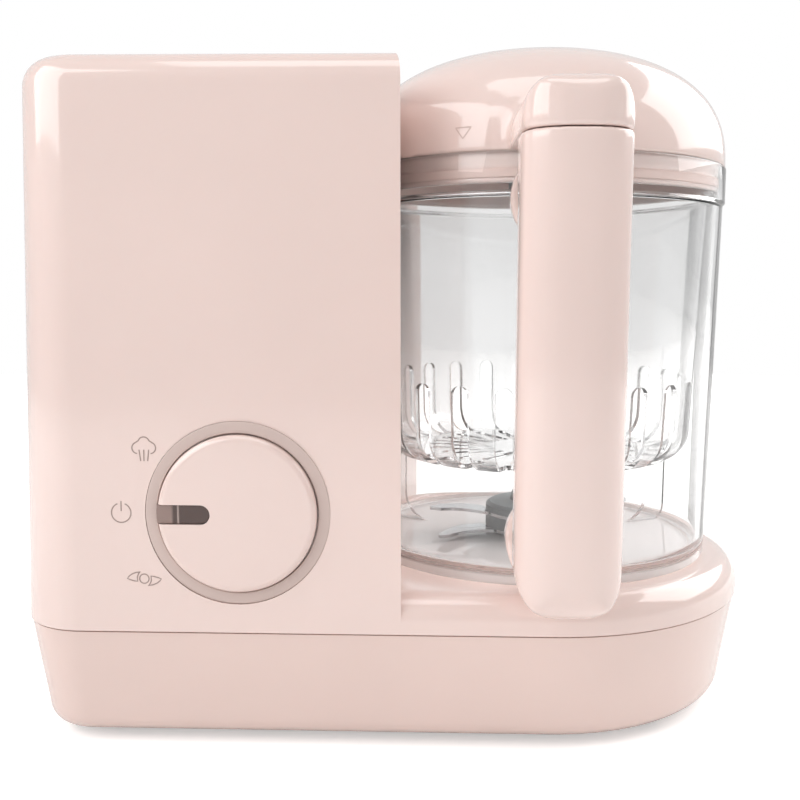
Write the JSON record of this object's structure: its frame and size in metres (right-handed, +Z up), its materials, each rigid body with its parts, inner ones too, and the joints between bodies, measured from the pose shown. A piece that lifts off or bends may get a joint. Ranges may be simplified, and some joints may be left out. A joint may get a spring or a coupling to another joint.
{
  "type": "baby food maker",
  "caption": "Countertop baby food steamer and blender: boiler and motor in a moulded column, clear lidded bowl with handle, slotted steam basket, blades and a dial.",
  "frame": {"origin": "on the table, under the centre of the object's bounding box", "axes": "+X to the user's right along the width, from the column to the bowl; +Y to the back; +Z up. The dial and the handle face -Y"},
  "size_m": [0.2685, 0.201, 0.2494],
  "materials": {
    "shell": "gloss moulded ABS, pale pink",
    "trim": "satin moulded ABS, darker pink",
    "lens": "smoked translucent",
    "lamp": "diffusing",
    "clear_bowl": "clear, polished",
    "clear_basket": "clear, polished",
    "foot_rubber": "matt",
    "belt_rubber": "matt",
    "silicone": "translucent white, matt",
    "screw_steel": "zinc plated",
    "plate_steel": "plain",
    "tank_steel": "deep drawn stainless",
    "blade_steel": "ground stainless",
    "iron": "laminated",
    "bronze": "sintered",
    "aluminium": "cast",
    "grey_plastic": "glass-filled nylon",
    "black_plastic": "moulded",
    "board": "green solder mask"
  },
  "bodies": {
    "base": {"base_pan": "shell", "housing": "shell", "feet": "foot_rubber", "base_screws": "screw_steel", "cord_gland": "foot_rubber", "dial_bezel": "trim", "selector_switch": "black_plastic", "control_board": "board", "indicator_lamps": "lamp", "board_screws": "screw_steel", "motor_bracket": "plate_steel", "motor_screws": "screw_steel", "motor_can": "plate_steel", "motor_stator": "iron", "drive_belt": "belt_rubber", "spindle_carrier": "grey_plastic", "carrier_screws": "screw_steel", "spindle_bushes": "bronze", "interlock_switch": "black_plastic", "boiler_tank": "tank_steel", "boiler_top": "grey_plastic", "boiler_screws": "screw_steel", "boiler_heater": "aluminium", "thermostat": "black_plastic", "steam_hose": "silicone", "steam_seal": "silicone"},
    "dial": {"dial_knob": "shell", "dial_lens": "lens", "dial_shaft": "bronze"},
    "filler_cap": {"filler_cap": "shell", "filler_seal": "silicone"},
    "interlock_pin": {"interlock_pin": "trim"},
    "motor_rotor": {"motor_shaft": "plate_steel", "motor_armature": "iron", "motor_fan": "black_plastic", "motor_pulley": "black_plastic"},
    "spindle": {"spindle": "plate_steel", "spindle_pulley": "black_plastic", "drive_dog": "grey_plastic"},
    "bowl": {"bowl": "clear_bowl", "blade_bush": "bronze", "handle_shell": "shell", "handle_cover": "shell", "handle_screws": "screw_steel"},
    "lid": {"lid": "shell", "lid_seal": "silicone", "steam_diffuser": "grey_plastic"},
    "basket": {"basket": "clear_basket"},
    "blades": {"lower_blade": "blade_steel", "blade_hub": "grey_plastic", "upper_blade": "blade_steel", "hub_cap": "grey_plastic", "blade_shaft": "plate_steel", "blade_coupling": "grey_plastic"}
  },
  "joints": [
    {"name": "dial_turn", "type": "hinge", "parent": "base", "child": "dial", "pos_m": [-0.05445, -0.0626, 0.0841], "axis": [0, -1, 0], "range_deg": [-35, 35]},
    {"name": "filler_cap_lift", "type": "slide", "parent": "base", "child": "filler_cap", "axis": [0, 0, 1], "range_m": [0, 0.04]},
    {"name": "motor_spin", "type": "hinge", "parent": "base", "child": "motor_rotor", "pos_m": [-0.076, 0.0345, 0.06], "axis": [0, 0, 1], "continuous": true},
    {"name": "spindle_spin", "type": "hinge", "parent": "base", "child": "spindle", "pos_m": [0.05225, 0.0185, 0.04], "axis": [0, 0, 1], "continuous": true},
    {"name": "bowl_lift", "type": "slide", "parent": "base", "child": "bowl", "axis": [0, 0, 1], "range_m": [0, 0.19]},
    {"name": "interlock_press", "type": "slide", "parent": "base", "child": "interlock_pin", "axis": [0, 0, 1], "range_m": [0, 0.002]},
    {"name": "lid_lift", "type": "slide", "parent": "bowl", "child": "lid", "axis": [0, 0, 1], "range_m": [0, 0.25]},
    {"name": "basket_lift", "type": "slide", "parent": "bowl", "child": "basket", "axis": [0, 0, 1], "range_m": [0, 0.125]},
    {"name": "blade_spin", "type": "hinge", "parent": "bowl", "child": "blades", "pos_m": [0.05225, 0.0185, 0.066], "axis": [0, 0, 1], "continuous": true}
  ],
  "couplings": [
    {"joint": "spindle_spin", "follows": "motor_spin", "ratio": 0.34783},
    {"joint": "blade_spin", "follows": "motor_spin", "ratio": 0.34783},
    {"joint": "interlock_press", "follows": "bowl_lift", "ratio": 0.0105},
    {"joint": "basket_lift", "follows": "lid_lift", "ratio": 0.5}
  ]
}
